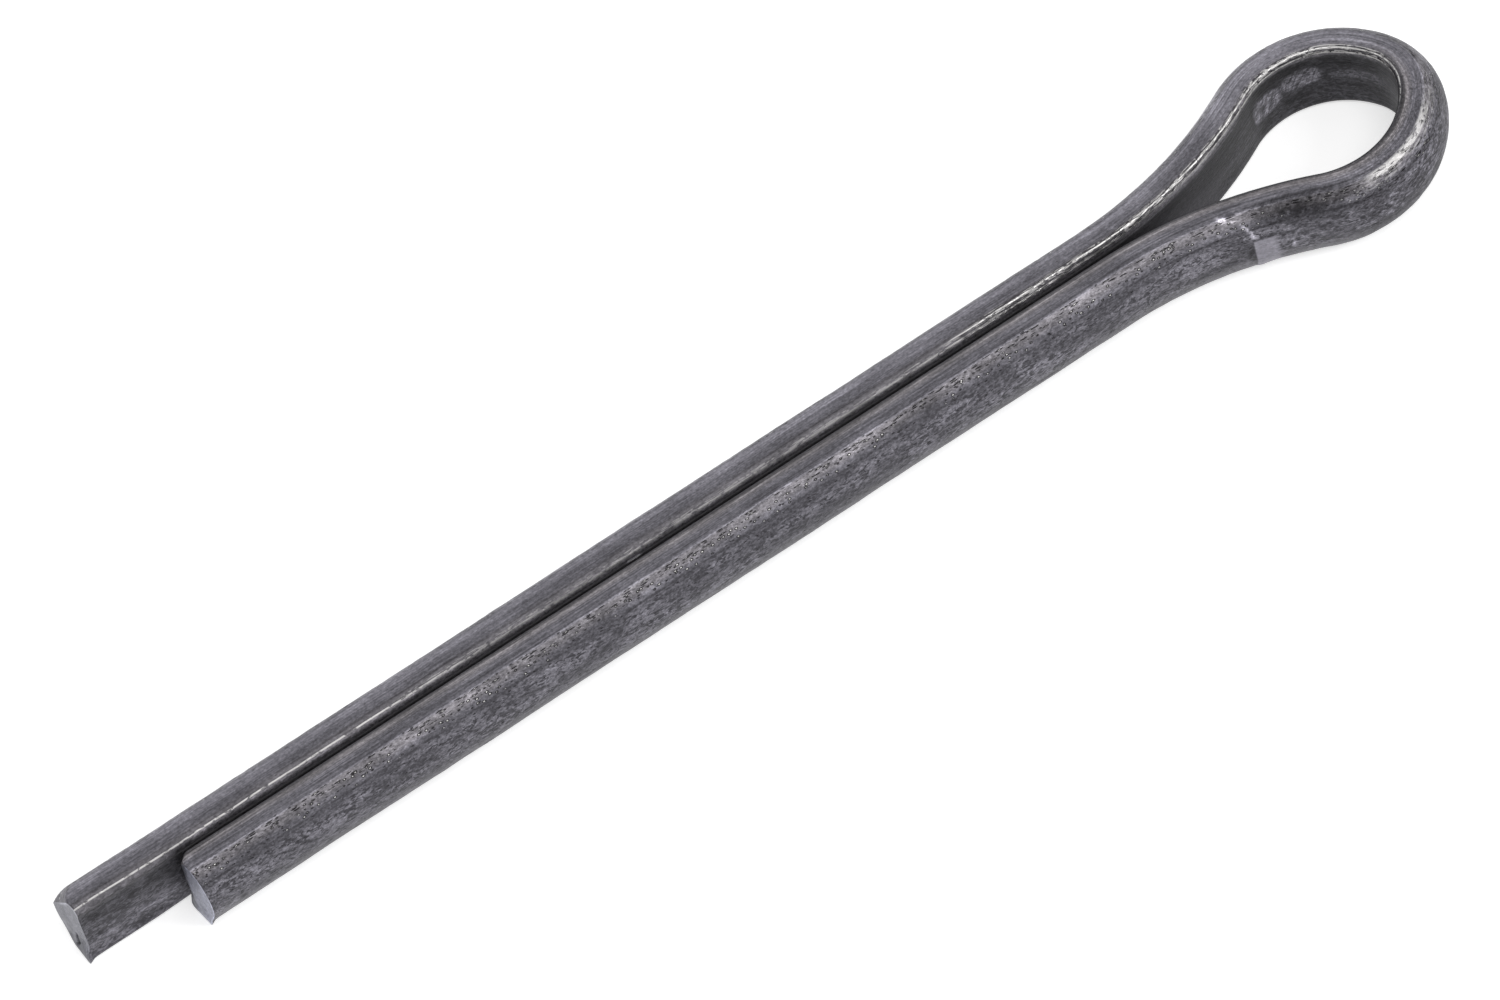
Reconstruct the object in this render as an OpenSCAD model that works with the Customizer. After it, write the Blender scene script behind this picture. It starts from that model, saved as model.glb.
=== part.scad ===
// Split pin: one length of D-section wire, folded back on itself round an open eye.
// It lies flat: +X runs along the legs to the tip of the eye, +Y is the side of the long leg,
// and the origin is under the middle of the whole pin. Millimetres throughout.

/* [Wire] */
// Height of the wire, which is the diameter of the closed shank
wire_h = 4.9; // [4:0.1:6]
// Thickness from the flat inner face to the crown of the outer side
wire_t = 2.5; // [2.1:0.05:3]
// Width of the flat band along the top and the bottom
flat_w = 1.45; // [1:0.05:1.8]
// Rounding of the two edges of the inner face
edge_r = 0.35; // [0.1:0.05:0.6]

/* [Legs] */
// Straight run of the short leg, from its cut end to the bend
short_leg = 60.5; // [40:0.5:90]
// How much longer the other leg is, so that the legs can be told apart and opened
leg_step = 6.3; // [2:0.1:10]
// Gap between the inner faces of the sprung legs
leg_gap = 0.55; // [0.1:0.05:1]

/* [Eye] */
// Inner radius of the long bend where each leg turns outward
root_r = 26; // [24:0.1:28.5]
// Angle that each leg turns outward, which is the flare of the eye
root_angle = 28.4; // [27.2:0.1:29.8]
// Inner radius of the shoulders, where the eye is widest
shoulder_r = 5; // [4.5:0.05:5.7]
// Turn from the widest point of a shoulder to where the tighter tip begins
tip_angle = 64; // [56:0.5:68]

/* [Cut ends] */
// Length of leg that the shear rolled over
roll_len = 1.5; // [0.6:0.1:2.2]
// How far the rolled corner is drawn down at the cut
roll_drop = 0.65; // [0.2:0.05:1]
// Direction of the cut, from upright towards the long leg's side
roll_tilt = 45; // [0:5:60]

/* [Hidden] */
steel = [0.42, 0.42, 0.45];
$fn = 72;
// The outer side is one arc through both ridges and the crown
crown = wire_t - flat_w;
crown_r = (pow(wire_h / 2, 2) + pow(crown, 2)) / (2 * crown);
// Each leg's bend and shoulder meet in a tangent, on the line through their centres
root_c = [0, leg_gap / 2 + root_r];
shoulder_c = root_c + (root_r + shoulder_r) * [sin(root_angle), -cos(root_angle)];
// The tip's arc is centred on the axis and touches both shoulders from inside
tip_r = shoulder_r + shoulder_c[1] / cos(tip_angle);
tip_c = shoulder_c + (shoulder_r - tip_r) * [sin(tip_angle), cos(tip_angle)];
long_leg = short_leg + leg_step;
overall = long_leg + tip_c[0] + tip_r + wire_t;
// Radius whose arc drops by roll_drop over roll_len
roll_r = (pow(roll_len, 2) + pow(roll_drop, 2)) / (2 * roll_drop);
// Angle that each bend laps its neighbours: far too small to measure, but enough for one clean mesh
lap = 0.000001;

// Wire section: x outward from the inner face, y up. The outer side is an arc, cut off square
// at the flat bands, and the inner face has rounded edges.
module wire_section() {
    intersection() {
        translate([wire_t - crown_r, wire_h / 2]) circle(r = crown_r);
        square([wire_t, wire_h]);
        union() {
            for (y = [edge_r, wire_h - edge_r]) translate([edge_r, y]) circle(r = edge_r);
            translate([edge_r, 0]) square([wire_t, wire_h]);
            translate([0, edge_r]) square([edge_r, wire_h - 2 * edge_r]);
        }
    }
}

// Moves to a centre in two steps, a round one and the small rest. Six digits of each then place
// the arcs closely enough for their end faces to fuse.
module place(centre) {
    coarse = [for (v = centre) round(v * 1000) / 1000];
    translate(coarse) translate(centre - coarse) children();
}

// Turns what it is given through an arc, from the angle `from`
module sweep(from, turn) {
    rotate_extrude(start = from - lap, angle = turn + 2 * lap) children();
}

// Arc of wire with its inner face on the inside, round the eye
module closing_bend(inner_r, from, turn) {
    sweep(from, turn) place([inner_r, 0]) wire_section();
}

// Arc of wire with its inner face on the outside, as where a leg turns outward
module opening_bend(inner_r, from, turn) {
    sweep(from, turn) place([inner_r, 0]) mirror([1, 0]) wire_section();
}

// Leg on the +Y side, from its square end to x = 0
module leg(length) {
    translate([-length, leg_gap / 2, 0]) rotate([90, 0, 90]) linear_extrude(height = length) wire_section();
}

// Rolls the end of the leg that it is given: cuts away the corner above an arc that starts level
// on the leg and has dropped by roll_drop at the cut. `corner` is where that corner lies across.
module sheared(length, corner) {
    difference() {
        children();
        translate([-length, corner, wire_h]) rotate([90 - roll_tilt, 0, 0])
            translate([roll_len, -roll_r, -wire_h]) linear_extrude(height = 2 * wire_h) difference() {
                translate([-2 * roll_len, 0]) square([2 * roll_len, 2 * roll_r]);
                circle(r = roll_r);
            }
    }
}

// One side of the eye, from the leg to the tip's arc
module eye_side() {
    place(root_c) opening_bend(root_r, 270, root_angle);
    place(shoulder_c) closing_bend(shoulder_r, 90 - tip_angle, tip_angle + root_angle);
}

module split_pin() {
    color(steel) translate([long_leg - overall / 2, 0, 0]) {
        sheared(long_leg, leg_gap / 2 + flat_w) leg(long_leg);
        sheared(short_leg, -leg_gap / 2) mirror([0, 1, 0]) leg(short_leg);
        eye_side();
        mirror([0, 1, 0]) eye_side();
        place(tip_c) closing_bend(tip_r, tip_angle - 90, 180 - 2 * tip_angle);
    }
}

split_pin();
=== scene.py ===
"""Split pin of dull drawn steel, lying on a pale floor in soft studio light.

Sizes are in millimetres in the classes, and every mesh is in metres, in the row frame: +X runs
along the legs to the tip of the eye, +Y is the side of the long leg and +Z is up.
"""
import logging
import math
from dataclasses import astuple, dataclass
from enum import Enum

import bmesh
import bpy
import numpy as np
from mathutils import Matrix, Vector


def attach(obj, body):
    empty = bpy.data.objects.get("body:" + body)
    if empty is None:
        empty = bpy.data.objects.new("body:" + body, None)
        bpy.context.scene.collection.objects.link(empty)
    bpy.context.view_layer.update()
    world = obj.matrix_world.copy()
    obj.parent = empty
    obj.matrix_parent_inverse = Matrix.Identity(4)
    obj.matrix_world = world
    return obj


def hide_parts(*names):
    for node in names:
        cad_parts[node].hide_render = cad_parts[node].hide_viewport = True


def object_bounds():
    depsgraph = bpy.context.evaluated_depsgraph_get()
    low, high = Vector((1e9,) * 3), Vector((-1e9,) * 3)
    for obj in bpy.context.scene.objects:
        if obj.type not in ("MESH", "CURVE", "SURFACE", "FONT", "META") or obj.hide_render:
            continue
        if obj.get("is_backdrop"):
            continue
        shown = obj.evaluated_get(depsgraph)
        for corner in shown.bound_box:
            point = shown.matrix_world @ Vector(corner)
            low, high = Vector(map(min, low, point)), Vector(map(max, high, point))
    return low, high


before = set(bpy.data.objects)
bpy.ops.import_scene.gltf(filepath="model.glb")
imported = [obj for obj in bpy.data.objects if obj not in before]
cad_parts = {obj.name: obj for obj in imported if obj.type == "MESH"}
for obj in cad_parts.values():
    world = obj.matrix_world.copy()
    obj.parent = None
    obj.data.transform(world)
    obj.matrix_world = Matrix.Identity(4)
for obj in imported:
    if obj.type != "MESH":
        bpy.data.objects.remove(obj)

MM = 0.001
WHITE = (1.0, 1.0, 1.0, 1.0)
log = logging.getLogger("split_pin")


class Corner(Enum):
    """Top corner of a leg's section. Its value is 1 on the outer side and -1 on the inner face."""

    OUTER_TOP = 1.0
    INNER_TOP = -1.0


def new_object(name: str, data: bpy.types.ID) -> bpy.types.Object:
    """Makes an object at the origin and links it to the scene."""
    made = bpy.data.objects.new(name, data)
    bpy.context.scene.collection.objects.link(made)
    return made


# ---------------------------------------------------------------- node trees


Socket = bpy.types.NodeSocket
Value = bpy.types.NodeSocket | bpy.types.Node | float | tuple[float, ...]
Masks = dict[str, Socket]
Colour = tuple[float, float, float, float]


@dataclass(frozen=True)
class Span:
    """Stretch from low to high in millimetres, whose edges fade out over `soft`."""

    low: float
    high: float
    soft: float


class Tree:
    """Short ways to add nodes to a node tree and to link them."""

    def __init__(self, tree: bpy.types.NodeTree) -> None:
        """Keeps the tree that the nodes go into."""
        self.tree = tree

    def add(self, kind: str, settings: dict | None = None, **sockets: Value) -> bpy.types.Node:
        """Adds a node.

        Args:
            kind: The node's type name.
            settings: Properties of the node itself.
            sockets: Values, nodes or sockets, by input name with _ for a blank, or i0, i1 by place.

        Returns:
            The new node.
        """
        node = self.tree.nodes.new(kind)
        for name, value in (settings or {}).items():
            setattr(node, name, value)
        for name, value in sockets.items():
            self.feed(self.socket(node, name), value)
        return node

    def socket(self, node: bpy.types.Node, name: str) -> Socket:
        """Finds an input socket by its place or by its name with _ for a blank."""
        if name[0] == "i" and name[1:].isdigit():
            return node.inputs[int(name[1:])]
        return node.inputs[name.replace("_", " ")]

    def feed(self, socket: Socket, value: Value) -> None:
        """Links an output to the socket, or sets the socket's own value."""
        if isinstance(value, Socket):
            self.tree.links.new(value, socket)
        elif isinstance(value, bpy.types.Node):
            self.tree.links.new(value.outputs[0], socket)
        else:
            socket.default_value = value

    def math(self, operation: str, a: Value, b: Value = 0.0, c: Value = 0.0) -> Socket:
        """Adds a Math node and returns its output."""
        return self.add("ShaderNodeMath", {"operation": operation}, i0=a, i1=b, i2=c).outputs[0]

    def total(self, start: Value, *terms: tuple[Value, Value]) -> Socket:
        """Adds values to a start. Each term is a value and its weight."""
        for value, weight in terms:
            start = self.math("MULTIPLY_ADD", value, weight, start)
        return start

    def product(self, first: Value, *others: Value) -> Socket:
        """Multiplies values."""
        for other in others:
            first = self.math("MULTIPLY", first, other)
        return first

    def largest(self, first: Value, *others: Value) -> Socket:
        """Takes the largest of some values."""
        for other in others:
            first = self.math("MAXIMUM", first, other)
        return first

    def swing(self, noise: Value) -> Socket:
        """Moves a noise so that it is 0 on average."""
        return self.math("SUBTRACT", noise, 0.5)

    def ramp(self, value: Value, low: float, high: float, start: float = 0.0, end: float = 1.0) -> Socket:
        """Maps low..high smoothly to start..end, and holds the ends."""
        return self.add("ShaderNodeMapRange", {"interpolation_type": "SMOOTHSTEP"},
                        i0=value, i1=low, i2=high, i3=start, i4=end).outputs[0]

    def window(self, value: Value, span: Span) -> Socket:
        """Gives 1 in the span and 0 outside, with soft edges."""
        rise = self.ramp(value, span.low - span.soft, span.low)
        return self.product(rise, self.ramp(value, span.high + span.soft, span.high))

    def vector(self, operation: str, a: Value, b: Value = (0.0, 0.0, 0.0)) -> bpy.types.Node:
        """Adds a Vector Math node."""
        return self.add("ShaderNodeVectorMath", {"operation": operation}, i0=a, i1=b)

    def scaled(self, vector: Value, scale: Value) -> Socket:
        """Multiplies a vector or a colour by a value."""
        node = self.vector("SCALE", vector)
        self.feed(node.inputs["Scale"], scale)
        return node.outputs[0]

    def xyz(self, x: Value = 0.0, y: Value = 0.0, z: Value = 0.0) -> Socket:
        """Joins three values into a vector."""
        return self.add("ShaderNodeCombineXYZ", None, i0=x, i1=y, i2=z).outputs[0]

    def seen(self) -> Socket:
        """Gives 1 for the rays of the camera and of mirror-like and clear surfaces, and 0 for the rest."""
        rays = self.add("ShaderNodeLightPath").outputs
        return self.largest(rays["Is Camera Ray"], rays["Is Glossy Ray"], rays["Is Transmission Ray"])

    def mix(self, share: Value, a: Value, b: Value) -> Socket:
        """Mixes two colours."""
        node = self.add("ShaderNodeMix", {"data_type": "RGBA"})
        for socket, value in zip((node.inputs[0], node.inputs[6], node.inputs[7]), (share, a, b)):
            self.feed(socket, value)
        return node.outputs[2]


# ---------------------------------------------------------------- shape of the wire


@dataclass(frozen=True)
class WireSection:
    """Section of the wire: flat inner face, flat top and bottom bands, and one arc outside."""

    height: float = 4.9
    thickness: float = 2.5
    flat_width: float = 1.45
    edge_r: float = 0.35
    spacing: float = 0.155


WIRE = WireSection()


@dataclass(frozen=True)
class FoldedPath:
    """Line of the wire's inner face, from the short leg's cut end round the eye to the long leg's."""

    short_leg: float = 60.5
    long_leg: float = 66.8
    leg_gap: float = 0.55
    root_r: float = 26.0
    root_angle: float = math.radians(28.4)
    shoulder_r: float = 5.0
    tip_angle: float = math.radians(64)
    ring_step: float = 0.187

    def centres(self) -> tuple[np.ndarray, float, float]:
        """Works out the shoulder's centre on the +Y side, the tip's centre along X and its radius."""
        turn = np.array([math.sin(self.root_angle), -math.cos(self.root_angle)])
        shoulder = np.array([0.0, self.leg_gap / 2 + self.root_r]) + (self.root_r + self.shoulder_r) * turn
        tip_r = self.shoulder_r + shoulder[1] / math.cos(self.tip_angle)
        tip_x = shoulder[0] + (self.shoulder_r - tip_r) * math.sin(self.tip_angle)
        return shoulder, float(tip_x), float(tip_r)

    def half(self, thickness: float) -> list[tuple[float, float, float]]:
        """Lists the arcs of one half, as (inner radius with its sign, turn, length at mid thickness)."""
        _, _, tip_r = self.centres()
        turns = ((-self.root_r, self.root_angle), (self.shoulder_r, self.root_angle + self.tip_angle),
                 (tip_r, math.pi / 2 - self.tip_angle))
        return [(r, a, (r + thickness / 2) * a if r > 0 else (-r - thickness / 2) * a) for r, a in turns]

    def trace(self, thickness: float) -> tuple[np.ndarray, np.ndarray, np.ndarray]:
        """Walks the whole line.

        Args:
            thickness: The wire's thickness, because lengths are measured at its middle.

        Returns:
            Points on the inner face's line, outward directions there, and the length walked.
        """
        half = self.half(thickness)
        runs = [(0.0, 0.0, self.short_leg)] + half + half[::-1] + [(0.0, 0.0, self.long_leg)]
        points, outward, walked = [], [], []
        position, heading, length = np.array([-self.short_leg, -self.leg_gap / 2]), 0.0, 0.0
        for radius, turn, run in runs:
            steps = max(2, round(run / self.ring_step))
            turn = math.copysign(turn, radius)
            for i in range(steps):
                a = heading + turn * i / steps
                points.append(position + self.stride(radius, run * i / steps, heading, a))
                outward.append((math.sin(a), -math.cos(a)))
                walked.append(length + run * i / steps)
            position = position + self.stride(radius, run, heading, heading + turn)
            heading, length = heading + turn, length + run
        points.append(position)
        outward.append((math.sin(heading), -math.cos(heading)))
        walked.append(length)
        return np.array(points), np.array(outward), np.array(walked)

    @staticmethod
    def stride(radius: float, run: float, start: float, end: float) -> np.ndarray:
        """Gives the step across an arc between two headings, or a straight run where the radius is 0."""
        if radius == 0.0:
            return run * np.array([math.cos(end), math.sin(end)])
        return radius * np.array([math.sin(end) - math.sin(start), math.cos(start) - math.cos(end)])


class SweepTree:
    """Geometry Nodes that draw the section and sweep it along a curve.

    The sizes are the fields of WireSection, in their order. The weld is in millimetres.
    """

    WELD = 0.001
    ARC_POINTS, EDGE_POINTS = 48, 5
    SIZES = ("Height", "Thickness", "Flat width", "Edge radius", "Spacing")

    def __init__(self) -> None:
        """Builds the tree."""
        self.group = bpy.data.node_groups.new("wire_sweep", "GeometryNodeTree")
        inputs = {"Geometry": "Geometry", **{name: "Float" for name in self.SIZES}, "Finish": "Material"}
        face = self.group.interface
        self.identifiers = {
            name: face.new_socket(name, in_out="INPUT", socket_type=f"NodeSocket{kind}").identifier
            for name, kind in inputs.items()
        }
        face.new_socket("Geometry", in_out="OUTPUT", socket_type="NodeSocketGeometry")
        self.build()

    def build(self) -> None:
        """Adds the nodes: the section, the sweep along the curve, and the finish."""
        t = Tree(self.group)
        given = t.add("NodeGroupInput").outputs
        section = self.section(t, given)
        line = t.add("GeometryNodeMeshToCurve", None, Mesh=given["Geometry"])
        path = t.add("GeometryNodeSetCurveNormal", {"mode": "Z_UP"}, Curve=line)
        path = self.number(t, path, "ring")
        swept = t.add("GeometryNodeCurveToMesh", None, Curve=path, Profile_Curve=section)
        solid = t.add("GeometryNodeRealizeInstances", None, Geometry=swept)
        dressed = t.add("GeometryNodeSetMaterial", None, Geometry=solid, Material=given["Finish"])
        t.add("NodeGroupOutput", None, Geometry=dressed)

    def section(self, t: Tree, given: bpy.types.NodeOutputs) -> bpy.types.Node:
        """Draws the closed section. Its x runs inwards from the inner face, and its y downwards.

        Args:
            t: The tree to add to.
            given: The tree's named inputs.

        Returns:
            The node that gives the section's curve, with its points' order kept on them.
        """
        middle, high = (t.product(given["Height"], share) for share in (-0.5, -1.0))
        corners = {
            "inner low": t.xyz(), "outer low": t.xyz(given["Flat width"]),
            "crown": t.xyz(given["Thickness"], middle),
            "outer high": t.xyz(given["Flat width"], high), "inner high": t.xyz(0.0, high),
        }
        arc = t.add("GeometryNodeCurveArc", {"mode": "POINTS"}, Resolution=self.ARC_POINTS,
                    Start=corners["outer low"], Middle=corners["crown"], End=corners["outer high"])
        turns = ("outer high", "inner high", "inner low", "outer low")
        lines = [
            t.add("GeometryNodeCurvePrimitiveLine", None, Start=corners[a], End=corners[b])
            for a, b in zip(turns, turns[1:])
        ]
        joined = t.add("GeometryNodeJoinGeometry")
        for part in (arc, *lines):
            t.feed(joined.inputs[0], part)
        edges = t.add("GeometryNodeCurveToMesh", None, Curve=joined)
        merged = t.add("GeometryNodeMergeByDistance", None, Geometry=edges, Distance=self.WELD * MM)
        closed = t.add("GeometryNodeMeshToCurve", None, Mesh=merged)
        place = t.add("GeometryNodeInputPosition")
        x = t.add("ShaderNodeSeparateXYZ", None, Vector=place).outputs[0]
        radius = t.product(t.math("LESS_THAN", x, 10 * self.WELD * MM), given["Edge radius"])
        rounded = t.add("GeometryNodeFilletCurve", {"mode": "POLY"}, Curve=closed, Count=self.EDGE_POINTS,
                        Radius=radius)
        following = t.add("GeometryNodeOffsetPointInCurve", None, Offset=1)
        ahead = t.add("GeometryNodeFieldAtIndex", {"data_type": "FLOAT_VECTOR", "domain": "POINT"})
        t.feed(ahead.inputs["Index"], following.outputs["Point Index"])
        t.feed(ahead.inputs["Value"], place)
        span = t.vector("DISTANCE", ahead, place).outputs[1]
        cuts = t.math("FLOOR", t.math("DIVIDE", span, given["Spacing"]))
        divided = t.add("GeometryNodeSubdivideCurve", None, Curve=rounded, Cuts=cuts)
        return self.number(t, divided, "spoke")

    def number(self, t: Tree, curve: bpy.types.Node, name: str) -> bpy.types.Node:
        """Stores the order of the curve's points on them, under a name."""
        value = t.add("GeometryNodeSplineParameter").outputs["Index"]
        return t.add("GeometryNodeStoreNamedAttribute", {"data_type": "FLOAT", "domain": "POINT"},
                     Geometry=curve, Name=name, Value=value)


# ---------------------------------------------------------------- finishes

# Name of the map of the unrolled wire, and how far on it one millimetre reaches
CHART = "unrolled"
CHART_PER_MM = 0.01
# Place of the cut faces on that map, and the place along it from which all is cut face
FACE_ALONG, FACE_AROUND, FACE_FROM = 100.0, 20.0, 95.0
# Points of a cut face that lie nearer than this, in millimetres, are its middle
POLE = 0.0005
# Name of the attribute that holds how many stops each mark is lighter or darker than the skin:
# mostly real stains, with painted shade at some marks and a painted highlight at one
STAIN_AND_LIGHT = "stain_and_light"


@dataclass(frozen=True)
class Patch:
    """Patch of the unrolled wire: a span along it from the tip, and a span round it from the ridge."""

    along: Span
    around: Span


@dataclass(frozen=True)
class Noise:
    """Noise that is drawn out along the wire, with its grains to a millimetre along and round."""

    along: float
    around: float
    seed: float
    detail: float = 3.0
    roughness: float = 0.5
    distortion: float = 0.0


@dataclass(frozen=True)
class Cells:
    """Scattered cells, with how many there are to a millimetre and the share of them that counts."""

    along: float
    around: float
    seed: float
    chosen: float


# Spans round the wire from the top ridge: the outer side lies above 0, the flat top and inner face below
SIDES = {
    "outer": Span(0.02, 5.5, 0.15), "flat": Span(-1.15, -0.12, 0.15), "band": Span(0.06, 0.90, 0.12),
    "mottled": Span(1.6, 3.4, 0.5), "crease": Span(1.08, 1.16, 0.06), "groove": Span(-1.40, -1.14, 0.06),
    "dashed": Span(0.10, 0.40, 0.08), "pitted": Span(0.42, 0.98, 0.12), "tip_dashed": Span(0.3, 1.3, 0.1),
}
# Spans along the wire from the middle of the tip: the short leg lies below 0
STRETCHES = {
    "eye": Span(-13.0, 13.0, 4.0), "tip": Span(-9.5, -2.0, 1.5), "bow": Span(-14.0, 14.0, 8.0),
    "gap": Span(16.0, 82.0, 2.0),
}
# Worn, rubbed and shaded patches of both. The lip is painted light and the eye's ridge painted shade,
# and the edge and tip patches add painted highlights to real wear
PATCHES = {
    # The lip is painted lighter: painted light on the long leg's inner wall under its top edge
    "lit_lip": Patch(Span(14.0, 82.5, 2.0), Span(-2.10, -1.60, 0.15)),
    "edge": Patch(Span(1.5, 31.0, 2.5), Span(-1.64, -1.17, 0.06)),
    "eye_line": Patch(Span(-2.0, 31.0, 4.0), Span(-1.33, -1.30, 0.04)),
    # The tip patches are rubbed metal and partly a painted highlight: they are made bare where the light
    # falls on the tip
    "tip_rub_and_highlight": Patch(Span(-8.6, -4.2, 1.2), Span(-0.03, 0.34, 0.14)),
    "tip_shine": Patch(Span(-9.0, -3.0, 1.2), Span(0.05, 0.70, 0.25)),
    "shoulder": Patch(Span(-13.0, 13.0, 4.0), Span(-1.15, -0.75, 0.15)),
    "eye_flat": Patch(Span(-13.0, 4.0, 4.0), Span(-1.15, -0.12, 0.15)),
    # The eye's ridge is painted darker, as painted shade where it turns away from the light
    "shaded_eye_ridge": Patch(Span(-13.0, -7.0, 2.0), Span(-0.10, 0.45, 0.10)),
}
LEG_LINE = Span(-1.61, -1.55, 0.03)
WORN_EDGE = Patch(Span(31.0, 68.0, 3.0), Span(-1.72, -1.40, 0.05))
PRESSED_SIDE = Span(1.95, 4.5, 0.12)
# How far apart the depths of two seeds are in the noise, and in the cells
NOISE_APART, CELLS_APART = 7.3, 3.7
SWAY = Noise(0.22, 0.05, 8.0, 2.0)
HATCH = Noise(3.0, 0.9, 7.0, 4.0, 0.7)
GRAINS = {
    "grit": Noise(5.5, 8.5, 1.0, 4.0, 0.65), "fleck": Noise(2.0, 4.2, 2.0, 4.0, 0.6, 0.9),
    "patch": Noise(0.28, 0.8, 3.0), "lines": Noise(0.16, 11.0, 4.0, 3.0, 0.6),
    "bands": Noise(0.07, 3.4, 5.0, 2.0), "threads": Noise(0.9, 15.0, 6.0, 3.0, 0.6),
    "breaks": Noise(3.2, 5.0, 9.0, 2.0),
}
DASHES = Cells(1.2, 7.5, 1.0, 0.95)
DEEP_PITS = Cells(2.7, 4.4, 2.0, 0.85)
SMALL_PITS = Cells(2.3, 5.0, 3.0, 0.5)


@dataclass(frozen=True)
class Stop:
    """Shade of the skin at one place round the section: 0 is black, 1 is white, and warm is towards brown."""

    u: float
    shade: float
    warm: float = 0.0

    def colour(self) -> Colour:
        """Gives the colour in linear light, a little violet unless it is warm."""
        tint = (1.0 + 0.04 * self.warm, 0.985, 1.045 - 0.11 * self.warm)
        return tuple((self.shade * part) ** 2.2 for part in tint) + (1.0,)


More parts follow.
